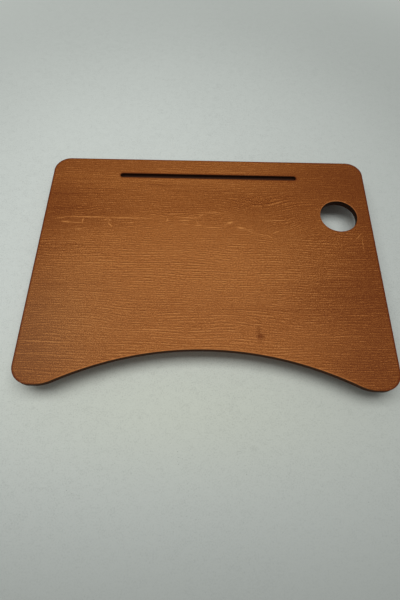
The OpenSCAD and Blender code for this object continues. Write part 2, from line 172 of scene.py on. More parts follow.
class Field:
    """A number that differs from place to place in a material, with the usual sums."""

    def __init__(self, paint, socket):
        self.paint, self.socket = paint, socket

    def math(self, operation, *others):
        return self.paint.math(operation, self, *others)

    def __add__(self, other):
        return self.math("ADD", other)

    def __sub__(self, other):
        return self.math("SUBTRACT", other)

    def __mul__(self, other):
        return self.math("MULTIPLY", other)

    def __truediv__(self, other):
        return self.math("DIVIDE", other)

    __radd__ = __add__
    __rmul__ = __mul__

    def step(self, low, high):
        """0 below low and 1 above high, with a smooth rise between."""
        made = self.paint.node(
            "MapRange", {"Value": self, "From Min": low, "From Max": high},
            interpolation_type="SMOOTHSTEP",
        )
        return Field(self.paint, made.outputs["Result"])


def put(tree, value, socket):
    """Gives a socket a value, or links it to a field or to another node's socket."""
    if isinstance(value, Field):
        value = value.socket
    if isinstance(value, bpy.types.NodeSocket):
        tree.links.new(value, socket)
    elif socket.type == "RGBA":
        socket.default_value = (*value, 1.0)
    else:
        socket.default_value = value


def add_node(tree, kind, inputs=(), **settings):
    """A new node with these inputs, by the name or number of the socket, and settings."""
    made = tree.nodes.new(kind)
    for key, value in settings.items():
        setattr(made, key, value)
    for key, value in dict(inputs).items():
        put(tree, value, made.inputs[key])
    return made


class Paint:
    """The nodes of one material or world, and short ways to add them."""

    def __init__(self, owner):
        owner.use_nodes = True
        self.owner, self.tree = owner, owner.node_tree
        self.tree.nodes.clear()

    def node(self, kind, inputs=(), **settings):
        return add_node(self.tree, "ShaderNode" + kind, inputs, **settings)

    def math(self, operation, *values):
        made = self.node("Math", enumerate(values), operation=operation)
        return Field(self, made.outputs[0])

    def place(self):
        """The place in the piece, in millimetres."""
        where = self.node("TexCoord").outputs["Object"]
        scaled = self.node("VectorMath", {0: where, "Scale": 1 / MM}, operation="SCALE")
        apart = self.node("SeparateXYZ", {0: scaled.outputs[0]})
        return [Field(self, apart.outputs[axis]) for axis in range(3)]

    def point(self, x=0.0, y=0.0, z=0.0):
        return self.node("CombineXYZ", {0: x, 1: y, 2: z}).outputs[0]

    def noise(self, x, y=0.0, z=0.0, detail=2.0, roughness=0.5, distortion=0.0):
        """Noise round 0, about -0.5 to 0.5, with features of size 1."""
        made = self.node("TexNoise", {
            "Vector": self.point(x, y, z), "Scale": 1.0, "Detail": detail,
            "Roughness": roughness, "Distortion": distortion,
        })
        return Field(self, made.outputs[0]) - 0.5

    def hill(self, place, x, y, half_length, half_width, turn=0.0):
        """A smooth long hill round x, y, 1 in its middle, turned by some degrees. The place
        is a point with a third number of 1."""
        sine, cosine = math.sin(math.radians(turn)), math.cos(math.radians(turn))
        out = 0.0
        for right, up, size in ((cosine, sine, half_length), (-sine, cosine, half_width)):
            across = Vector((right, up, -(x * right + y * up))) / size
            made = self.node("VectorMath", {0: place, 1: across}, operation="DOT_PRODUCT")
            away = Field(self, made.outputs["Value"])
            out = away.math("MULTIPLY_ADD", away, out)
        return self.math("POWER", math.exp(-1), out)

    def attribute(self, name):
        return Field(self, self.node("Attribute", attribute_name=name).outputs["Fac"])

    def mix(self, share, first, second, blend="MIX"):
        """A colour between two others. A colour's sockets have these numbers on the node."""
        made = self.node(
            "Mix", {"Factor": share, 6: first, 7: second},
            data_type="RGBA", blend_type=blend, clamp_factor=True,
        )
        return made.outputs[2]

    def ramp(self, share, *stops):
        """A colour that runs through the stops, each a place from 0 to 1 and a colour."""
        made = self.node("ValToRGB", {0: share})
        elements = made.color_ramp.elements
        while len(elements) < len(stops):
            elements.new(1.0)
        for element, (place, shade) in zip(elements, stops):
            element.position = place
            element.color = (*shade, 1.0)
        return made.outputs[0]

    def ray(self, *kinds):
        """1 on light paths of these kinds, and 0 on others."""
        path = self.node("LightPath").outputs
        out = 0.0
        for kind in kinds:
            out = Field(self, path[f"Is {kind} Ray"]).math("MAXIMUM", out)
        return out

    def surface(self, colour, roughness, specular, bump, metallic=0.0):
        """A shader. specular and metallic are the same all over the surface."""
        relief = self.node("Bump", {"Height": bump, "Strength": 1.0, "Distance": MM})
        return self.node("BsdfPrincipled", {
            "Base Color": colour, "Roughness": roughness, "Specular IOR Level": specular,
            "Metallic": metallic, "Normal": relief.outputs[0],
        }).outputs[0]

    def end(self, shader):
        self.node("OutputMaterial", {"Surface": shader})
        return self.owner

    def finish(self, *surface, **settings):
        return self.end(self.surface(*surface, **settings))


def look(name, maker, *values):
    """The material of that name, made when it is first asked for."""
    made = bpy.data.materials.get(name)
    if made:
        return made
    paint = Paint(bpy.data.materials.new(name))
    return maker(paint, bpy.context.scene.table_finish, *values)


# ------------------------ the stained panel

PLIES = 7
# Places are in millimetres on the panel. Round each of these spots the grain swells into
# long loops: x, y, half length, half width, lift
GRAIN_SWELLS = (
    (92, 104, 66, 28, 22), (140, 66, 36, 22, 18), (-70, 82, 46, 16, 5), (-232, 92, 44, 18, 10),
    (205, -30, 120, 52, 9), (-170, -60, 120, 50, -8),
)
# Two sets of grain lines over each other: pitch, strength
GRAIN_ROWS = ((4.7, 1.0), (3.4, 0.8))
# Marks are seen on the upper face alone: none below the first height, all from the second
MARKED_HEIGHTS = 40, 45
# Light flecks where the grain is torn: x, y, half length, half width, turn in degrees
FLECKS = (
    (-269, 81, 12, 0.6, 12), (-222, 84, 40, 1.0, 0), (-150, 83.5, 36, 0.8, -0.5),
    (-258, 72.5, 8, 1.5, -4), (-239, 71, 10, 0.6, -3), (-228, 76, 5, 1.0, 88),
    (-233, 57, 5, 0.8, 4), (-186, 79, 4.5, 0.9, 18), (-179, 78, 2, 1.2, 0),
    (-177.5, 68, 5, 1.3, -42), (-140, 73, 5, 0.7, 10), (-74, 80, 3, 1.2, 80),
    (-36, 86, 17, 0.7, 0.5), (-13, 91.5, 5, 0.6, 36), (7, 99, 18, 0.4, 1), (-41, 80, 6, 0.8, 2),
    (-41, 72, 6, 0.6, -2), (-19, 76, 4, 0.6, -66), (-17, 70, 6, 0.9, 14), (10, 66, 13, 0.6, 0),
    (40, 76.5, 5.5, 1.5, 14), (60, 66, 6, 1.7, -10), (77, 58.5, 7, 0.5, -28),
    (122, 84, 26, 0.4, 0), (98, 52, 8, 0.35, -14), (112, 48, 5, 0.6, -40), (124, 58, 5, 0.8, 30),
    (272, 52, 10, 0.5, 48), (277, 34, 14, 0.45, 88), (-270, -157, 48, 0.4, -1.5),
    (-262, -178, 56, 0.35, -2), (-80, -134, 26, 0.4, 0),
)
# Dark drawn-out streaks: the same
STREAKS = (
    (-222, 173, 64, 2.6, 0), (-246, 161, 44, 2.2, 1), (-226, 149, 60, 2.8, -1),
    (-256, 137, 40, 2.4, 1), (-262, 104, 34, 3.0, 2), (-92, 161, 58, 2.6, -2),
    (-20, 148, 70, 2.4, 0), (-245, 24, 60, 2.2, 0), (-262, 14, 44, 1.6, 1),
    (-196, 6, 40, 1.6, -1), (-236, -54, 66, 2.6, 1), (-190, -66, 56, 2.0, -1),
    (-270, -96, 40, 2.2, 0), (180, -14, 60, 1.8, 1), (262, 8, 44, 2.0, 0),
    (120, -96, 50, 1.8, 0), (59, 68.5, 3.2, 1.3, 0), (-224, 80.5, 34, 0.6, 0),
    (-148, 81, 22, 0.5, 0), (230, -52, 60, 2.2, 3), (236, -70, 56, 2.0, 1),
    (215, -40, 44, 2.0, 4),
)
# Soft patches of darker and lighter tone: x, y, half length, half width, darkness
TONE_PATCHES = (
    (-240, 92, 95, 34, 0.27), (-232, 140, 95, 20, 0.17), (-300, 0, 50, 400, 0.26),
    (300, 60, 130, 260, 0.34), (306, 20, 42, 170, 0.20), (115, 82, 80, 42, 0.07),
    (250, 190, 170, 60, 0.24), (255, -75, 110, 70, 0.18), (40, 120, 170, 40, 0.15),
    (-150, -120, 130, 90, -0.02), (0, -20, 200, 70, -0.10), (-190, 208, 110, 26, 0.20),
    (0, 214, 150, 20, 0.06), (260, -200, 60, 50, 0.30), (0, -150, 190, 36, -0.06),
    (-262, -190, 70, 50, 0.14),
)


def panel_stain(paint, finish):
    x, y, z = paint.place()
    side = z * 3.0  # the underside has its own grain
    sway = paint.noise(x / 210, y / 90, side, detail=1) * 26
    sway = sway + paint.noise(x / 60, y / 24, side) * 2
    flat = paint.point(x, y, 1.0)
    for *spot, lift in GRAIN_SWELLS:
        sway = sway + paint.hill(flat, *spot) * lift
    grain = y + sway

    # early and late wood, some 4 mm apart, that shows as thin broken dashes
    broad = paint.noise(x / 130, grain / 12, side)
    mottle = paint.noise(x / 70, y / 40, side + 9, detail=3, roughness=0.6)
    light, dark = 0.0, 0.0
    for pitch, share in GRAIN_ROWS:
        count = grain / pitch + paint.noise(x / 90, y / 30, side + pitch) * 1.2
        row = count.math("FLOOR")
        across = count.math("FRACT")
        breaks = paint.noise(x / 15, row * 7.3, side + pitch, detail=3, roughness=0.6)
        line = across.step(0.20, 0.36) - across.step(0.50, 0.66)
        light = line * breaks.step(-0.08, 0.14) * share + light
        under = across.step(0.60, 0.74) - across.step(0.86, 1.0)
        dark = under * breaks.step(-0.14, 0.10) * share + dark
    fibre = paint.noise(x / 9, grain / 1.6, side, detail=3, roughness=0.6)
    speckle = paint.noise(x / 1.3, grain, side + 5, detail=1)
    pores = paint.noise(x / 3.0, grain / 0.45, side, detail=1).step(0.15, 0.3)

    # they show most across the middle of the panel
    lines = fibre * 0.52 + speckle * 2.9 - light * 0.28 + dark * 0.25 + pores * 0.14
    strength = paint.hill(flat, -20, -20, 290, 85) * 0.75 + 1.0
    depth = lines * strength + mottle * 0.20 + broad * 0.16 + 0.51
    for *spot, darkness in TONE_PATCHES:
        depth = depth + paint.hill(flat, *spot) * darkness

    # marks of the upper face
    upper = z.step(*MARKED_HEIGHTS)
    shaken_x = x + paint.noise(x / 6, y / 6, 1.0) * 4
    shaken_y = y + paint.noise(x / 9, y / 5, 6.0) * 2
    shaken = paint.point(shaken_x, shaken_y, 1.0)
    torn, streak = 0.0, 0.0
    for spot in FLECKS:
        torn = paint.hill(shaken, *spot).math("MAXIMUM", torn)
    for spot in STREAKS:
        streak = paint.hill(shaken, *spot).math("MAXIMUM", streak)
    torn = torn * upper * (fibre * 0.9 + 1.0)
    streak = streak * upper * (fibre * 1.4 + 0.9)
    knot = paint.hill(shaken, 88, -142, 4.5, 3.5) + paint.hill(shaken, 84, -137, 3.5, 15) * 0.6
    knot = knot * upper * (paint.noise(x / 9, y / 1.6, 3.0) * 2.0 + 0.9)
    depth = depth + streak * 0.18 + knot * 0.56 - torn * 0.95

    shade = paint.ramp(
        depth, (0.0, finish.stain_light), (0.40, finish.stain), (1.0, finish.stain_dark)
    )
    # painted reflection: the near left corner paled by the varnish's sheen
    shade = paint.mix(paint.hill(flat, -270, -150, 110, 130) * 0.13, shade, finish.painted_sheen)
    arris = paint.attribute("arris")
    worn = arris * (paint.noise(x / 15, y / 15, z / 3) * 0.8 + 0.8)
    # lighter edges: worn stain, with a painted highlight on the near edge and the cup hole's far
    # rim
    shade = paint.mix(worn, shade, finish.worn_edge_and_highlight)
    # painted shade darkens the edges away from the near edge and round the groove
    shade = paint.mix(arris * -1.0, shade, finish.painted_edge_shade)
    relief = fibre * 0.05 - pores * 0.05 + light * 0.03 + torn * 0.06
    gloss = mottle * 0.10 + fibre * 0.10 + torn * 0.08 + 0.48
    return paint.finish(shade, gloss, 0.05, relief)


def panel_edge(paint, finish):
    """Sawn and stained edge of the plywood, every other ply of it end grain."""
    x, y, z = paint.place()
    layer = (z - PANEL_LOW.z / MM) * (PLIES / ((PANEL_HIGH.z - PANEL_LOW.z) / MM))
    layer = layer + paint.noise(x / 30, y / 30, z / 30, detail=1) * 0.35
    odd = (layer * math.pi).math("SINE") * (layer * math.pi).math("SINE")
    even_ply = (layer / 2).math("FRACT").step(0.46, 0.54)
    fibre = paint.noise(x / 9, y / 9, z / 0.5)
    ends = paint.noise(x / 0.7, y / 0.7, z / 0.9)
    glue = odd.step(0.10, 0.0)
    depth = even_ply * (ends * 0.9 + 0.22) + fibre * 0.5 + glue * 0.28 + 0.34
    ply = Vector(finish.ply_edge)
    shade = paint.ramp(depth, (0.0, ply * 1.55), (0.42, ply), (1.0, ply * 0.42))
    worn = paint.attribute("arris") * (paint.noise(x / 12, y / 12, z / 3) * 0.8 + 0.6)
    shade = paint.mix(worn, shade, finish.worn_edge_and_highlight)
    # painted shade in the groove and on the cup hole's wall, with pooled stain in the groove
    shade = paint.mix(paint.attribute("pooled") * 0.95, shade, finish.groove)
    relief = even_ply * ends * 0.12 + fibre * 0.04 - glue * 0.05
    return paint.finish(shade, ends * 0.1 + 0.66, 0.04, relief)


# ------------------------ solid wood and the rest


def along_grain(paint, axis):
    """Place in a board, turned so that the first number runs along its grain."""
    x, y, z = paint.place()
    return {"X": (x, y, z), "Y": (y, x, z), "Z": (z, x, y)}[axis]


def ring_wood(paint, axis, light, middle, dark, rubbed, specular, roughness):
    """Straight-grained board: growth rings round a pith well outside it."""
    along, across, up = along_grain(paint, axis)
    bend = paint.noise(along / 160, across / 40, up / 40, detail=1)
    out_x = across + 63 + bend * 9
    out_y = up + 41 + bend * 6
    radius = (out_x * out_x + out_y * out_y).math("SQRT")
    year = radius / 3.4 + paint.noise(along / 90, radius / 9, detail=1) * 1.2
    season = year.math("FRACT")
    late = season.step(0.25, 0.92) - season.step(0.93, 1.0)
    fibre = paint.noise(along / 9, across / 0.7, up / 0.7, detail=3, roughness=0.6)
    pores = paint.noise(along / 3.2, across / 0.38, up / 0.38, detail=1).step(0.18, 0.3)
    mottle = paint.noise(along / 70, across / 18, up / 18)
    depth = late * 0.30 + fibre * 0.45 + mottle * 0.4 + pores * 0.2 + 0.3
    shade = paint.ramp(depth, (0.0, light), (0.42, middle), (1.0, dark))
    worn = paint.attribute("arris") * (paint.noise(along / 12, across / 9, up / 9) + 0.5)
    shade = paint.mix(worn, shade, rubbed)
    relief = fibre * 0.06 - pores * 0.07 + late * 0.03
    return paint.finish(shade, fibre * 0.12 + mottle * 0.1 + roughness, specular, relief)


def stained_wood(paint, finish, axis):
    return ring_wood(
        paint, axis, finish.stain_light, finish.stain, finish.stain_dark, finish.worn_edge_and_highlight,
        0.12, 0.50,
    )


def bare_wood(paint, finish, axis):
    pale = Vector(finish.pale_wood)
    darker = pale * Vector((0.62, 0.52, 0.40))
    return ring_wood(paint, axis, pale * 1.12, pale * 0.95, darker, pale * 1.12, 0.3, 0.6)


def bare_ply(paint, finish):
    """Thin birch plywood: calm face veneer with small flecks, layered on its edges."""
    x, y, z = paint.place()
    wave = paint.noise(x / 70, y / 150, z * 3, detail=1) * 26
    figure = paint.noise((x + wave) / 8, y / 90, z * 3)
    fibre = paint.noise((x + wave) / 0.8, y / 9, z * 3, detail=3, roughness=0.6)
    specks = paint.noise(x / 1.1, y / 4, z, detail=1).step(0.2, 0.3)
    layer = z.math("FRACT").step(0.4, 0.6)
    depth = figure * 0.6 + fibre * 0.35 + specks * 0.25 + layer * 0.06 + 0.34
    pale = Vector(finish.pale_ply)
    darker = pale * Vector((0.6, 0.5, 0.38))
    shade = paint.ramp(depth, (0.0, pale * 1.1), (0.45, pale * 0.93), (1.0, darker))
    return paint.finish(shade, fibre * 0.1 + 0.62, 0.3, fibre * 0.05 - specks * 0.05)


def zinc(paint, finish):
    """Zinc plating: grey with faint blue and yellow clouds, brushed by handling."""
    x, y, z = paint.place()
    cloud = paint.noise(x / 5, y / 5, z / 5, detail=3, roughness=0.6)
    fine = paint.noise(x / 0.5, y / 0.5, z / 0.5)
    steel = Vector(finish.steel)
    warm = steel * Vector((0.96, 0.88, 0.72))
    shade = paint.ramp(cloud + 0.5, (0.3, steel * 0.72), (0.5, steel), (0.72, warm))
    return paint.finish(shade, cloud * 0.25 + fine * 0.2 + 0.34, 0.5, fine * 0.02, metallic=1.0)


def black_rubber(paint, finish):
    """Matt moulded rubber with a fine pebbled skin and a little dust."""
    x, y, z = paint.place()
    pebble = paint.noise(x / 0.45, y / 0.45, z / 0.45)
    dust = paint.noise(x / 4, y / 4, z / 4, detail=3, roughness=0.65).step(0.02, 0.3)
    rubber = Vector(finish.rubber)
    shade = paint.mix(dust * 0.45, rubber, rubber * 2.4 + Vector((0.012,) * 3))
    return paint.finish(shade, dust * 0.15 + 0.72, 0.35, pebble * 0.08)


FLOOR_FADES_FROM, FLOOR_GONE_BY = 600, 1400  # distances from the table's middle, in millimetres


def pale_floor(paint, finish):
    """Pale floor with faint clouds and tiny dark specks."""
    x, y, _ = paint.place()
    cloud = paint.noise(x / 260, y / 260, detail=3, roughness=0.55)
    grit = paint.noise(x / 2.2, y / 2.2)
    scuffs = paint.noise(x / 14, y / 11, 2.0, detail=4, roughness=0.7, distortion=1.2)
    specks = paint.noise(x / 2.0, y / 2.0, 5.0, detail=0).step(0.27, 0.33)
    specks = specks * paint.noise(x / 60, y / 60, 8.0, detail=1).step(0.05, 0.12)
    tone = Vector(finish.floor)
    shade = paint.ramp(
        cloud * 0.16 + grit * 0.7 + scuffs * 0.45 + specks * 0.7 + 0.5,
        (0.2, tone * 1.06), (0.5, tone), (1.0, tone * 0.55),
    )
    # painted light and shade: a little yellower in front of the table, as light bounced off the
    # wood, and darker away from it, where the light falls off
    warm = (1.0, 0.99, 0.91)
    painted_bounce_light = paint.hill(paint.point(x, y, 1.0), 0, -250, 340, 110)
    shade = paint.mix(painted_bounce_light, shade, warm, "MULTIPLY")
    along, back = (x + 190) / 760, (y - 20) / 920
    front = ((y - 20) / -520).math("MAXIMUM", 0.0)
    away = along * along + back * back + front * front * front * front
    # painted shade: the floor darkens away from the table
    shade = paint.mix((away * -1.0).math("EXPONENT"), tone * 0.5, shade)
    floor = paint.surface(shade, 0.7, 0.2, grit * 0.05)

    # well away from the table it runs on into the pale backdrop
    far = (x * x + y * y).math("SQRT").step(FLOOR_FADES_FROM, FLOOR_GONE_BY)
    backdrop = paint.node("Emission", {"Color": tone, "Strength": 1.0})
    both = paint.node("MixShader", {
        0: far * paint.ray("Camera", "Glossy"), 1: floor, 2: backdrop.outputs[0],
    })
    return paint.end(both.outputs[0])


# ------------------------ making meshes

FLAT_WITHIN = math.radians(0.5)
ARRIS_FROM = math.radians(30)
BOARD_SHARP_FROM = math.radians(38)
TURNED_SHARP_FROM = math.radians(32)
HULL_PROUD = 0.012 * MM


def place_object(name, data):
    thing = bpy.data.objects.new(name, data)
    bpy.context.scene.collection.objects.link(thing)
    return thing


def settle(name, mesh, nodes, slot, *materials):
    """Makes a mesh a finished piece that stands for CAD nodes and rides on their body."""
    bodies = frame["record"]["behaviour"]["bodies"]
    body = next(b for b, members in bodies.items() if nodes[0] in members)
    piece = place_object(name, mesh)
    mesh.name = name
    while len(mesh.materials) > len(materials):
        mesh.materials.pop()
    while len(mesh.materials) < len(materials):
        mesh.materials.append(None)
    for index, material in enumerate(materials):
        mesh.materials[index] = material
    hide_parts(*nodes)
    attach(piece, body)
    return piece


def remove(*things):
    for thing in things:
        mesh = thing.data
        bpy.data.objects.remove(thing)
        bpy.data.meshes.remove(mesh)


def evaluated_mesh(thing):
    """Plain mesh of an object with its modifiers applied. The object is removed."""
    seen = thing.evaluated_get(bpy.context.evaluated_depsgraph_get())
    mesh = bpy.data.meshes.new_from_object(seen)
    remove(thing)
    return mesh


def merged(node):
    """Copy of a CAD node's mesh with its loose triangles joined, as a bmesh."""
    shape = bmesh.new()
    shape.from_mesh(frame["nodes"][node].data)
    bmesh.ops.remove_doubles(shape, verts=shape.verts, dist=MM / 500)
    bmesh.ops.dissolve_degenerate(shape, edges=shape.edges, dist=MM / 1000)
    return shape


def join_flats(shape):
    bmesh.ops.dissolve_limit(
        shape, angle_limit=FLAT_WITHIN, verts=shape.verts, edges=shape.edges
    )


def to_mesh(name, shape):
    mesh = bpy.data.meshes.new(name)
    shape.to_mesh(mesh)
    shape.free()
    return mesh


def to_object(name, shape):
    return place_object(name, to_mesh(name, shape))


def mark_arrises(mesh, low, high, width):
    """Marks the points that are near two outer faces of the box at once, as on an edge."""
    marks = mesh.attributes.new("arris", "FLOAT", "POINT")
    for point, mark in zip(mesh.vertices, marks.data):
        near = sorted(min(point.co[a] - low[a], high[a] - point.co[a]) for a in range(3))
        mark.value = 1.0 if near[1] < width and near[0] > -MM else 0.0


def eased(node, radius):
    """Mesh of a CAD node with the arrises of its outer form rounded off, its holes kept: the
    rounded hull of the node, a little larger than it, trims the node."""
    solid = merged(node)
    join_flats(solid)
    form = merged(node)
    hull = bmesh.ops.convex_hull(form, input=form.verts)
    inner = [g for g in hull["geom_interior"] if isinstance(g, bmesh.types.BMVert)]
    bmesh.ops.delete(form, geom=inner, context="VERTS")
    outer = set(hull["geom"])
    loose = [f for f in form.faces if f not in outer]
    bmesh.ops.delete(form, geom=loose, context="FACES")
    join_flats(form)
    bmesh.ops.recalc_face_normals(form, faces=form.faces)
    sharp = [e for e in form.edges if e.calc_face_angle(0) > ARRIS_FROM]
    bmesh.ops.bevel(
        form, geom=sharp, offset=radius, segments=3, profile=0.5,
        affect="EDGES", clamp_overlap=True,
    )
    form.normal_update()
    for point in form.verts:
        point.co += point.normal * HULL_PROUD
    cutter = to_object(node + "_form", form)
    blank = to_object(node + "_blank", solid)
    trim = blank.modifiers.new("Trim", "BOOLEAN")
    trim.operation, trim.solver, trim.object = "INTERSECT", "EXACT", cutter
    mesh = evaluated_mesh(blank)
    remove(cutter)
    return mesh


def smooth(mesh):
    """Shades a mesh smooth, with its flats kept flat."""
    mesh.shade_smooth()
    mesh.set_sharp_from_angle(angle=BOARD_SHARP_FROM)
    thing = place_object("smooth", mesh)
    flats = thing.modifiers.new("Flats", "WEIGHTED_NORMAL")
    flats.keep_sharp, flats.weight = True, 100
    return evaluated_mesh(thing)


TIMBER_ARRIS = 1.2 * MM
DRAWER_ARRIS = 0.8 * MM
RUNNER_ARRIS = 0.6 * MM


def wood_piece(node, material, slot, radius):
    """A board of the CAD model with eased edges and a grained finish."""
    mesh = eased(node, radius)
    mark_arrises(mesh, *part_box(node), radius * 0.98)
    settle(node + "_wood", smooth(mesh), [node], slot, material)


def stained_boards(axis, *nodes):
    """Boards of stained wood, their grain along an axis."""
    wood = look(f"Stained wood along {axis}", stained_wood, axis)
    for node in nodes:
        wood_piece(node, wood, "stained_hardwood", TIMBER_ARRIS)


def bare_boards(axis, arris, *nodes):
    """Boards of bare wood, their grain along an axis."""
    wood = look(f"Bare wood along {axis}", bare_wood, axis)
    for node in nodes:
        wood_piece(node, wood, "plain_hardwood", arris)


def turned(name, rings, steps=48, closed=False):
    """Mesh round Z through rings of (radius, height, form), each form a function of the
    angle that gives the share of the radius. A ring of radius 0 is a point. A closed one
    joins its last ring to its first."""
    shape = bmesh.new()
    loops = []
    for radius, height, *form in rings:
        if radius == 0:
            loops.append([shape.verts.new((0, 0, height))])
            continue
        loop = []
        for step in range(steps):
            turn = 2 * math.pi * step / steps
            reach = radius * (form[0](turn) if form else 1.0)
            loop.append(shape.verts.new((reach * math.cos(turn), reach * math.sin(turn), height)))
        loops.append(loop)
    pairs = list(zip(loops, loops[1:]))
    if closed:
        pairs.append((loops[-1], loops[0]))
    for first, second in pairs:
        for step in range(steps):
            after = (step + 1) % steps
            corners = [
                first[step % len(first)], first[after % len(first)],
                second[after % len(second)], second[step % len(second)],
            ]
            shape.faces.new(list(dict.fromkeys(corners)))
    bmesh.ops.recalc_face_normals(shape, faces=shape.faces)
    thing = to_object(name, shape)
    thing.data.shade_smooth()
    thing.data.set_sharp_from_angle(angle=TURNED_SHARP_FROM)
    return thing


def six_sided(turn):
    """Hexagon, as a share of the radius over its flats."""
    return 1 / math.cos((turn + math.pi / 6) % (math.pi / 3) - math.pi / 6)


ARM_HALF_WIDTH = 0.199  # of the cross recess, as a share of its arms' reach


def cross(turn):
    """Cross recess, as a share of the reach of its arms."""
    from_arm = abs((turn + math.pi / 4) % (math.pi / 2) - math.pi / 4)
    return min(1 / math.cos(from_arm), ARM_HALF_WIDTH / max(math.sin(from_arm), 1e-6))


# ------------------------ rows of small hardware


def fastener_tree():
    """Geometry Nodes that set one part on each point, turned to the point's direction and
    stretched by the point's stretch."""
    tree = bpy.data.node_groups.new("Set on points", "GeometryNodeTree")
    tree.interface.new_socket("Geometry", in_out="OUTPUT", socket_type="NodeSocketGeometry")
    for name, kind in (
        ("Points", "Geometry"), ("Part", "Object"),
        ("Diameter", "Float"), ("Material", "Material"),
    ):
        tree.interface.new_socket(name, in_out="INPUT", socket_type="NodeSocket" + kind)

    def add(*node, **settings):
        return add_node(tree, *node, **settings).outputs

    given = add("NodeGroupInput")
    named = "GeometryNodeInputNamedAttribute"
    direction = add(named, {"Name": "direction"}, data_type="FLOAT_VECTOR")["Attribute"]
    stretch = add(named, {"Name": "stretch"}, data_type="FLOAT")["Attribute"]
    part = add("GeometryNodeObjectInfo", {"Object": given["Part"]})
    turn = add("FunctionNodeAlignRotationToVector", {"Vector": direction}, axis="Z")
    scale = add("ShaderNodeCombineXYZ", {
        "X": given["Diameter"], "Y": given["Diameter"], "Z": stretch,
    })
    rows = add("GeometryNodeInstanceOnPoints", {
        "Points": given["Points"], "Instance": part["Geometry"],
        "Rotation": turn["Rotation"], "Scale": scale["Vector"],
    })
    real = add("GeometryNodeRealizeInstances", {"Geometry": rows["Instances"]})
    dressed = add("GeometryNodeSetMaterial", {
        "Geometry": real["Geometry"], "Material": given["Material"],
    })
    add("NodeGroupOutput", {"Geometry": dressed["Geometry"]})
    return tree


def set_on_points(part, spots, diameter, material):
    """Mesh with the part on every spot of (place, direction, stretch)."""
    tree = bpy.data.node_groups.get("Set on points") or fastener_tree()
    mesh = bpy.data.meshes.new("spots")
    mesh.from_pydata([spot[0] for spot in spots], [], [])
    mesh.attributes.new("direction", "FLOAT_VECTOR", "POINT")
    mesh.attributes.new("stretch", "FLOAT", "POINT")
    for index, spot in enumerate(spots):
        mesh.attributes["direction"].data[index].vector = spot[1]
        mesh.attributes["stretch"].data[index].value = spot[2]
    holder = place_object("spots", mesh)
    row = holder.modifiers.new("Row", "NODES")
    row.node_group = tree
    given = {"Part": part, "Diameter": diameter, "Material": material}
    for item in tree.interface.items_tree:
        if item.in_out == "INPUT" and item.name in given:
            row[item.identifier] = given[item.name]
    return evaluated_mesh(holder)


def settle_parts(name, part, spots, nodes, slot, material):
    """A finished piece with the part on every spot. The part itself is removed."""
    piece = settle(name, set_on_points(part, spots, 1.0, material), nodes, slot, material)
    remove(part)
    return piece


def join(*meshes):
    """One mesh from several."""
    shape = bmesh.new()
    for mesh in meshes:
        shape.from_mesh(mesh)
        bpy.data.meshes.remove(mesh)
    return to_mesh("joined", shape)


def solids(node):
    """The points of each separate solid of a CAD node."""
    shape = merged(node)
    left = set(shape.verts)
    groups = []
    while left:
        group, edge = set(), [left.pop()]
        while edge:
            vert = edge.pop()
            group.add(vert)
            for link in vert.link_edges:
                other = link.other_vert(vert)
                if other in left:
                    left.remove(other)
                    edge.append(other)
        groups.append([v.co.copy() for v in group])
    shape.free()
    return sorted(groups, key=lambda g: tuple(round(c, 4) for c in sum(g, Vector()) / len(g)))


def box_of(points):
    """Lowest and highest corners round some points."""
    return [Vector([pick(p[a] for p in points) for a in range(3)]) for pick in (min, max)]


def face_middle(low, high, axis, upper=False):
    """Middle of the lower or upper face of a box across an axis."""
    middle = (low + high) / 2
    middle[axis] = high[axis] if upper else low[axis]
    return middle


def axis_line(points):
    """Ends of a long round solid's axis, from its wider end to its other end."""
    low, high = box_of(points)
    axis = max(range(3), key=lambda a: high[a] - low[a])
    start, end = (face_middle(low, high, axis, upper) for upper in (False, True))

    def girth(place):
        spokes = [p - place for p in points if abs(p[axis] - place[axis]) < 0.3 * MM]
        for spoke in spokes:
            spoke[axis] = 0.0
        return max(spoke.length for spoke in spokes)

    if girth(end) > girth(start):
        start, end = end, start
    return start, end


HEAD_DIAMETER = 8 * MM
SHANK_DIAMETER = 4 * MM
HEAD_FIT, SHANK_FIT = 0.995, 0.98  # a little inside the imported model's screws
SHANK_FROM_FACE = 1.7 * MM  # it starts inside the head
SHANK_SHORTER = 1.8 * MM
BOLT_RADIUS = 3 * MM
BOLT_HEAD_RADIUS = 7.5 * MM
BOLT_HEAD_DEPTH = 2.4 * MM
BOLT_BORE = 3.06 * MM
WASHER_RADIUS = 8 * MM
NUT_FLATS = 10 * MM


def screw_head():
    """Countersunk head with a cross recess, its face at z = 0. It is 1 across."""
    return turned("screw_head", [
        (0, 0.200), (0.10, 0.185, cross), (0.23, 0.120, cross), (0.31, 0.006, cross),
        (0.33, 0.0, cross), (0.47, 0.0), (0.492, 0.006), (0.50, 0.022), (0.27, 0.245),
        (0.24, 0.32), (0, 0.32),
    ], 64)


def screw_shank():
    """Threaded shank, 1 across and 1 long, from inside the head to its tip."""
    turns = 9
    rings = [(0, 0.0), (0.42, 0.0), (0.42, 0.18)]
    for turn in range(turns):
        foot = 0.2 + 0.62 * turn / turns
        rings += [(0.40, foot), (0.5, foot + 0.02), (0.5, foot + 0.03), (0.40, foot + 0.045)]
    rings += [(0.38, 0.86), (0.22, 0.95), (0, 1.0)]
    return turned("screw_shank", rings, 20)


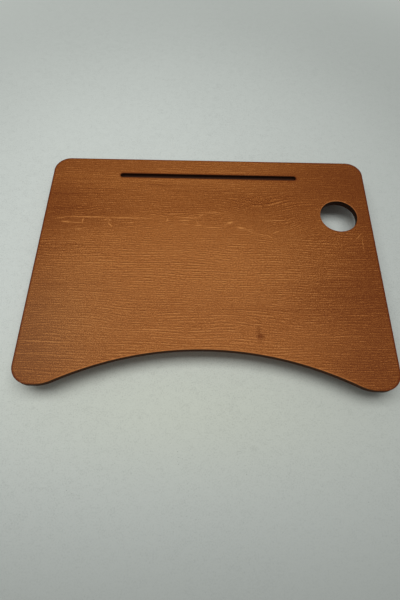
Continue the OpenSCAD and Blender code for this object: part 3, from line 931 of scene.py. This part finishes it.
def screws(name, *nodes):
    """All the screws of some CAD nodes of one body, as one piece."""
    lines = [axis_line(points) for node in nodes for points in solids(node)]
    metal = look("Zinc", zinc)
    head, shank = screw_head(), screw_shank()
    heads, shanks = [], []
    for start, end in lines:
        inwards = (end - start).normalized()
        heads.append((start, inwards, HEAD_DIAMETER))
        shanks.append(
            (start + inwards * SHANK_FROM_FACE, inwards, (end - start).length - SHANK_SHORTER)
        )
    mesh = join(
        set_on_points(head, heads, HEAD_DIAMETER * HEAD_FIT, metal),
        set_on_points(shank, shanks, SHANK_DIAMETER * SHANK_FIT, metal),
    )
    remove(head, shank)
    settle(name, mesh, nodes, "zinc_steel", metal)


# ------------------------ the panel's outline


CORNER_STEPS, EASE_STEPS, CURVE_STEPS, GROOVE_STEPS, CUP_STEPS = 18, 10, 96, 20, 128


def arc(middle, radius, start, end, steps):
    """Points on an arc, angles in degrees."""
    turns = [math.radians(start + (end - start) * n / steps) for n in range(steps + 1)]
    return [
        (middle[0] + radius * math.cos(turn), middle[1] + radius * math.sin(turn))
        for turn in turns
    ]


def panel_outline(sizes, inset):
    """The panel's outline moved inwards, counterclockwise. Every inset has as many points."""
    corner, depth, ease = sizes.corner_radius, sizes.curve_depth, sizes.curve_ease
    wide, far, near = PANEL_HIGH.x, PANEL_HIGH.y, PANEL_LOW.y
    half = wide - sizes.curve_from_side
    radius = (half * half + depth * depth) / (2 * depth)
    curve_y = near + depth - radius
    ease_x = math.sqrt(depth * (2 * radius + 2 * ease - depth))
    tilt = math.degrees(math.atan2(near + ease - curve_y, ease_x))
    points = arc((wide - corner, far - corner), corner - inset, 0, 90, CORNER_STEPS)
    points += arc((corner - wide, far - corner), corner - inset, 90, 180, CORNER_STEPS)
    points += arc((corner - wide, near + corner), corner - inset, 180, 270, CORNER_STEPS)
    points += arc((-ease_x, near + ease), ease - inset, 270, 360 - tilt, EASE_STEPS)
    points += arc((0, curve_y), radius + inset, 180 - tilt, tilt, CURVE_STEPS)[1:-1]
    points += arc((ease_x, near + ease), ease - inset, 180 + tilt, 270, EASE_STEPS)
    points += arc((wide - corner, near + corner), corner - inset, 270, 360, CORNER_STEPS)
    return points


def groove_outline(sizes, spread):
    """Stadium round the groove, moved outwards, clockwise."""
    half = (sizes.groove_length - sizes.groove_width) / 2
    radius = sizes.groove_width / 2 + spread
    points = arc((half, GROOVE_MIDDLE), radius, 90, -90, GROOVE_STEPS)
    return points + arc((-half, GROOVE_MIDDLE), radius, -90, -270, GROOVE_STEPS)


def cup_outline(sizes, spread):
    return arc(CUP["pos_m"], sizes.cup_radius + spread, 360, 0, CUP_STEPS)[:-1]


def upper_edge(up):
    """(inset, height, worn, stained) from the wall over the arris to the top. worn weighs the
    lighter edge, wear with a painted highlight; stained weighs the painted edge shade.
    """
    high = PANEL_HIGH.z
    profile = [(0.0, high - up - 0.5 * MM, 0.0, 0.0)]
    for step, worn in enumerate((0.0, 0.1, 0.5, 0.95, 1.0, 0.8)):
        turn = math.radians(18 * step)
        profile.append((up - up * math.cos(turn), high - up + up * math.sin(turn), worn, 1.0))
    for beyond, worn, stained in ((0.7, 0.2, 1.0), (1.6, 0.0, 0.5), (3.5, 0.0, 0.0)):
        profile.append((up + beyond * MM, high, worn, stained))
    return profile


def edge_profile(down, up):
    """The same from the underside to the top, round the panel's edge."""
    low = PANEL_LOW.z
    profile = [(down + 1.5 * MM, low, 0.0, 0.0)]
    for step in range(4):
        turn = math.radians(30 * step)
        profile.append(
            (down - down * math.sin(turn), low + down - down * math.cos(turn), 0.5, 0.5)
        )
    return profile + [(0.0, low + down + 0.5 * MM, 0.0, 0.0)] + upper_edge(up)


FACE, EDGE = 0, 1


def loft(shape, sizes, outline, profile, wear_at, face_below, face_above):
    """Faces through one ring of the outline for each step of the profile. wear_at gives how
    light the edge is at a place, from wear and a painted highlight, or below 0 how much painted
    shade darkens it. Returns the first and the last ring's points."""
    worn = shape.verts.layers.float["arris"]
    rings = []
    for inset, height, wear, stained in profile:
        ring = []
        for x, y in outline(sizes, inset):
            vert = shape.verts.new((x, y, height))
            here = wear_at(x, y)
            vert[worn] = here * (wear if here > 0 else stained)
            ring.append(vert)
        rings.append(ring)
    for first, second in zip(rings, rings[1:]):
        level = (first[0].co.z + second[0].co.z) / 2
        for index in range(len(first)):
            after = (index + 1) % len(first)
            face = shape.faces.new((first[index], first[after], second[after], second[index]))
            face.material_index = FACE if level < face_below or level > face_above else EDGE
            face.smooth = True
    return rings[0], rings[-1]


def ring_edges(shape, ring):
    return [shape.edges.get((a, b)) for a, b in zip(ring, ring[1:] + ring[:1])]


def clamp(value):
    return min(max(value, 0.0), 1.0)


def edge_wear_highlight_and_shade(x, y):
    """The near edge is lighter: rubbed by arms and sleeves, with a painted highlight along it.
    The other edges are darkened with painted shade, most of all at the sides."""
    near = clamp((-90 * MM - y) / (60 * MM))
    side = clamp((abs(x) / PANEL_HIGH.x - 0.75) * 5)
    return 0.65 * near * (1.0 - side) - max(0.9 * side, 0.5 * (1.0 - near))


def make_panel():
    sizes = bpy.context.scene.table_panel
    shape = bmesh.new()
    shape.verts.layers.float.new("arris")
    shape.verts.layers.float.new("pooled")
    down = sizes.low_arris
    low_face = PANEL_LOW.z + down * 0.3
    outer_low, outer_top = loft(
        shape, sizes, panel_outline, edge_profile(down, sizes.top_arris),
        edge_wear_highlight_and_shade, low_face, PANEL_HIGH.z - sizes.top_arris * 0.6,
    )
    cup_low, cup_top = loft(
        shape, sizes, cup_outline, edge_profile(down, sizes.cup_arris),
        # painted highlight on the cup hole's far rim, painted shade on its near rim
        lambda x, y: (y - CUP_MIDDLE.y) / sizes.cup_radius * 0.7 + 0.25,
        low_face, PANEL_HIGH.z - sizes.cup_arris * 0.6,
    )
    floor = PANEL_HIGH.z - sizes.groove_depth
    fillet = 0.8 * MM
    pocket = [
        (-fillet - 1.2 * MM, floor, 0.0, 0.0), (-fillet, floor, 0.0, 0.0),
        (-fillet * 0.3, floor + fillet * 0.3, 0.0, 0.0), (0.0, floor + fillet, 0.0, 0.0),
    ] + upper_edge(sizes.groove_arris)
    groove_low, groove_top = loft(
        # painted shade along the groove's rim
        shape, sizes, groove_outline, pocket, lambda x, y: -0.7,
        0.0, PANEL_HIGH.z - sizes.groove_arris * 0.6,
    )
    pooled = shape.verts.layers.float["pooled"]  # painted shade in the groove and the cup hole, with stain gathered in the groove too
    for vert in shape.verts:
        x, y, z = vert.co
        in_groove = (
            abs(x) < sizes.groove_length / 2 + MM and abs(y - GROOVE_MIDDLE) < sizes.groove_width
            and floor - MM < z < PANEL_HIGH.z - sizes.groove_arris * 1.2
        )
        from_cup = (vert.co.xy - CUP_MIDDLE).length - sizes.cup_radius
        if in_groove or from_cup < 0.1 * MM:
            vert[pooled] = 1.0
    for rings in ((outer_low, cup_low), (outer_top, cup_top, groove_top), (groove_low,)):
        edges = [e for ring in rings for e in ring_edges(shape, ring)]
        made = bmesh.ops.triangle_fill(shape, edges=edges, use_beauty=True)
        for item in made["geom"]:
            if isinstance(item, bmesh.types.BMFace):
                item.material_index = EDGE if rings == (groove_low,) else FACE
                item.smooth = True
    bmesh.ops.recalc_face_normals(shape, faces=shape.faces)
    settle(
        "panel", to_mesh("panel", shape), ["top_panel"], "stained_plywood",
        look("Stained plywood", panel_stain), look("Plywood edge", panel_edge),
    )


# ------------------------ one operator for each group

CORNERS = ("far_left", "far_right", "near_left", "near_right")


class TABLE_OT_panel(bpy.types.Operator):
    """Makes the plywood panel with its curve, cup hole and tablet groove"""

    bl_idname = "laptop_table.panel"
    bl_label = "Panel"

    def execute(self, context):
        make_panel()
        return {"FINISHED"}


class TABLE_OT_aprons(bpy.types.Operator):
    """Makes the two aprons under the panel"""

    bl_idname = "laptop_table.aprons"
    bl_label = "Aprons"

    def execute(self, context):
        stained_boards("X", "far_apron", "near_apron")
        return {"FINISHED"}


class TABLE_OT_leg_frames(bpy.types.Operator):
    """Makes the posts and stretchers of the two folding leg frames"""

    bl_idname = "laptop_table.leg_frames"
    bl_label = "Leg frames"

    def execute(self, context):
        for side in ("left", "right"):
            stained_boards("X", f"{side}_far_post", f"{side}_near_post")
            stained_boards("Y", f"{side}_stretcher")
        return {"FINISHED"}


class TABLE_OT_drawer(bpy.types.Operator):
    """Makes the drawer's boards, bottom, dowels and stop tab"""

    bl_idname = "laptop_table.drawer"
    bl_label = "Drawer"

    def execute(self, context):
        stained_boards("Y", "drawer_front")
        bare_boards("X", DRAWER_ARRIS, "drawer_far_side", "drawer_near_side")
        bare_boards("Y", DRAWER_ARRIS, "drawer_back")
        ply = look("Bare plywood", bare_ply)
        wood_piece("drawer_bottom", ply, "plain_plywood", 0.3 * MM)
        wood_piece("drawer_stop_tab", ply, "plain_plywood", 0.5 * MM)
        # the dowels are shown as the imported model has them
        dowels = frame["nodes"]["drawer_dowels"].data.materials
        dowels.clear()
        dowels.append(look("Bare wood along X", bare_wood, "X"))
        return {"FINISHED"}


class TABLE_OT_knob(bpy.types.Operator):
    """Turns the drawer's knob"""

    bl_idname = "laptop_table.knob"
    bl_label = "Knob"

    def execute(self, context):
        low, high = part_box("drawer_knob")
        reach, radius = high.x - low.x, (high.z - low.z) / 2
        profile = [
            (0, 0.0), (0.60, 0.0), (0.61, 0.03), (0.56, 0.08), (0.54, 0.2), (0.56, 0.3),
            (0.66, 0.39), (0.82, 0.46), (0.94, 0.53), (0.99, 0.61), (1.0, 0.69), (0.98, 0.78),
            (0.90, 0.87), (0.76, 0.94), (0.56, 0.98), (0.30, 0.996), (0, 1.0),
        ]
        knob = turned("knob", [(r * radius, h * reach) for r, h in profile], 64)
        spots = [(face_middle(low, high, 0, upper=True), (-1, 0, 0), 1.0)]
        wood = look("Stained wood along X", stained_wood, "X")
        piece = settle_parts(
            "turned_knob", knob, spots, ["drawer_knob"], "stained_hardwood", wood
        )
        piece.data.shade_smooth()
        return {"FINISHED"}


class TABLE_OT_runners(bpy.types.Operator):
    """Makes the drawer's runners and the stop peg"""

    bl_idname = "laptop_table.runners"
    bl_label = "Runners"

    def execute(self, context):
        bare_boards("X", RUNNER_ARRIS, "far_runner", "near_runner")
        bare_boards("Z", RUNNER_ARRIS, "stop_peg")
        return {"FINISHED"}


class TABLE_OT_screws(bpy.types.Operator):
    """Makes the countersunk screws of every body"""

    bl_idname = "laptop_table.screws"
    bl_label = "Screws"

    def execute(self, context):
        screws("table_screws", "apron_screws", "runner_screws", "stop_peg_screw")
        screws("left_leg_screws", "left_stretcher_screws")
        screws("right_leg_screws", "right_stretcher_screws")
        screws("drawer_box_screws", "drawer_screws", "drawer_knob_screw", "stop_tab_screws")
        return {"FINISHED"}


def bolt(length, radius, head_radius, head):
    """Flat-headed bolt with a hexagon socket, its face at z = 0."""
    socket, shank = radius * 0.61, radius * 0.97
    return turned("bolt", [
        (0, head * 0.74), (socket, head * 0.74, six_sided), (socket, head * 0.08, six_sided),
        (socket * 1.08, 0.0, six_sided), (head_radius * 0.90, 0.0),
        (head_radius * 0.97, head * 0.06), (head_radius * 0.995, head * 0.2),
        (head_radius * 0.995, head * 0.96), (head_radius * 0.97, head), (shank, head),
        (shank, length - radius * 0.25), (shank * 0.8, length), (0, length),
    ])


def washer(radius, bore, thickness):
    soft = thickness * 0.2
    return turned("washer", [
        (bore, soft), (bore, thickness - soft), (bore + soft, thickness),
        (radius - soft, thickness), (radius, thickness - soft), (radius, soft),
        (radius - soft, 0.0), (bore + soft, 0.0),
    ], closed=True)


def nut(flats, bore, thickness):
    half = flats / 2
    return turned("nut", [
        (bore, 0.3 * MM), (bore, thickness - 0.3 * MM), (bore + 0.3 * MM, thickness),
        (half * 0.98, thickness), (half, thickness - 0.35 * MM, six_sided),
        (half, 0.35 * MM, six_sided), (half * 0.98, 0.0), (bore + 0.3 * MM, 0.0),
    ], closed=True)


class TABLE_OT_pivots(bpy.types.Operator):
    """Makes the pivot bolts, washers and nuts"""

    bl_idname = "laptop_table.pivots"
    bl_label = "Pivots"

    def execute(self, context):
        metal = look("Zinc", zinc)
        bolts = [f"pivot_bolt_{corner}" for corner in CORNERS]
        lines = [axis_line(solids(node)[0]) for node in bolts]
        spots = [(start, (end - start).normalized(), 1.0) for start, end in lines]
        start, end = lines[0]
        part = bolt((end - start).length, BOLT_RADIUS, BOLT_HEAD_RADIUS, BOLT_HEAD_DEPTH)
        settle_parts("pivot_bolts", part, spots, bolts, "zinc_steel", metal)
        for node, name, make, size in (
            ("pivot_washers", "washers", washer, WASHER_RADIUS),
            ("pivot_nuts", "nuts", nut, NUT_FLATS),
        ):
            boxes = [box_of(points) for points in solids(node)]
            spots = [(face_middle(*box, 1), (0, 1, 0), 1.0) for box in boxes]
            low, high = boxes[-1]
            part = make(size, BOLT_BORE, high.y - low.y)
            settle_parts(name, part, spots, [node], "zinc_steel", metal)
        return {"FINISHED"}


class TABLE_OT_rubber(bpy.types.Operator):
    """Makes the bumpers under the aprons and the pads on the feet"""

    bl_idname = "laptop_table.rubber"
    bl_label = "Rubber"

    def execute(self, context):
        rubber = look("Black rubber", black_rubber)
        nodes = [f"bumper_{corner}" for corner in CORNERS]
        low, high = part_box(nodes[0])
        radius, height = (high.x - low.x) / 2, high.z - low.z
        part = turned("bumper", [
            (0, 0.06 * height), (0.30 * radius, 0.05 * height), (0.46 * radius, 0.0),
            (0.80 * radius, 0.0), (0.90 * radius, 0.10 * height), (0.96 * radius, 0.3 * height),
            (radius, 0.62 * height), (radius, 0.9 * height), (0.97 * radius, height), (0, height),
        ])
        spots = [(face_middle(*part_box(node), 2), (0, 0, 1), 1.0) for node in nodes]
        settle_parts("bumpers", part, spots, nodes, "black_rubber", rubber)
        for side in ("left", "right"):
            for end in ("far", "near"):
                node = f"{side}_{end}_foot"
                mesh = smooth(eased(node, 0.7 * MM))
                settle(node + "_pad", mesh, [node], "black_rubber", rubber)
        return {"FINISHED"}


FLOOR_HALF_SIZE = 6.0
CAMERA_SHIFT = -1 / 600  # one pixel of the photograph's height


class TABLE_OT_stage(bpy.types.Operator):
    """Makes the floor, the soft light and the camera"""

    bl_idname = "laptop_table.stage"
    bl_label = "Stage"

    def execute(self, context):
        scene = context.scene
        finish, stage = scene.table_finish, scene.table_stage
        shape = bmesh.new()
        bmesh.ops.create_grid(shape, x_segments=1, y_segments=1, size=FLOOR_HALF_SIZE)
        floor = to_object("floor", shape)
        floor.data.materials.append(look("Pale floor", pale_floor))

        lamp_data = bpy.data.lights.new("soft_lamp", "AREA")
        lamp_data.shape = "RECTANGLE"
        lamp_data.size, lamp_data.size_y = stage.lamp_size
        lamp_data.energy = stage.lamp_power
        place_object("soft_lamp", lamp_data).location = stage.lamp_place

        room = Paint(bpy.data.worlds.new("room"))
        light = room.node("Background", {"Color": (1.0, 1.0, 1.0), "Strength": stage.ambient})
        backdrop = room.node("Background", {"Color": finish.floor, "Strength": 1.0})
        both = room.node("MixShader", {
            0: room.ray("Camera", "Glossy", "Transmission"),
            1: light.outputs[0], 2: backdrop.outputs[0],
        })
        room.node("OutputWorld", {"Surface": both.outputs[0]})
        scene.world = room.owner

        camera_data = bpy.data.cameras.new("camera")
        camera_data.sensor_width = 36.0
        camera_data.lens = stage.lens
        camera_data.shift_y = CAMERA_SHIFT
        camera_data.clip_end = 50.0
        camera = place_object("camera", camera_data)
        camera.location = stage.camera_place
        camera.rotation_euler = Euler(stage.camera_turn)
        scene.camera = camera
        scene.view_settings.view_transform = "Standard"
        return {"FINISHED"}


OPERATORS = (
    TABLE_OT_panel, TABLE_OT_aprons, TABLE_OT_leg_frames, TABLE_OT_drawer, TABLE_OT_knob,
    TABLE_OT_runners, TABLE_OT_screws, TABLE_OT_pivots, TABLE_OT_rubber, TABLE_OT_stage,
)


GROUPS = {
    "table_panel": PanelProperties,
    "table_finish": FinishProperties,
    "table_stage": StageProperties,
}


class TABLE_PT_sidebar(bpy.types.Panel):
    """Lists the pieces that can be made"""

    bl_idname = "TABLE_PT_sidebar"
    bl_label = "Laptop Table"
    bl_space_type = "VIEW_3D"
    bl_region_type = "UI"
    bl_category = "Laptop Table"

    def draw(self, context):
        for name, group in GROUPS.items():
            box = self.layout.box()
            for key in group.__annotations__:
                box.prop(getattr(context.scene, name), key)
        for operator in OPERATORS:
            self.layout.operator(operator.bl_idname)


def register():
    for group in (*GROUPS.values(), *OPERATORS, TABLE_PT_sidebar):
        bpy.utils.register_class(group)
    for name, group in GROUPS.items():
        setattr(bpy.types.Scene, name, bpy.props.PointerProperty(type=group))


def unregister():
    for name in GROUPS:
        delattr(bpy.types.Scene, name)
    for group in reversed((*GROUPS.values(), *OPERATORS, TABLE_PT_sidebar)):
        bpy.utils.unregister_class(group)


def main():
    register()
    for operator in OPERATORS:
        area, name = operator.bl_idname.split(".")
        getattr(getattr(bpy.ops, area), name)()


if __name__ == "__main__":
    main()
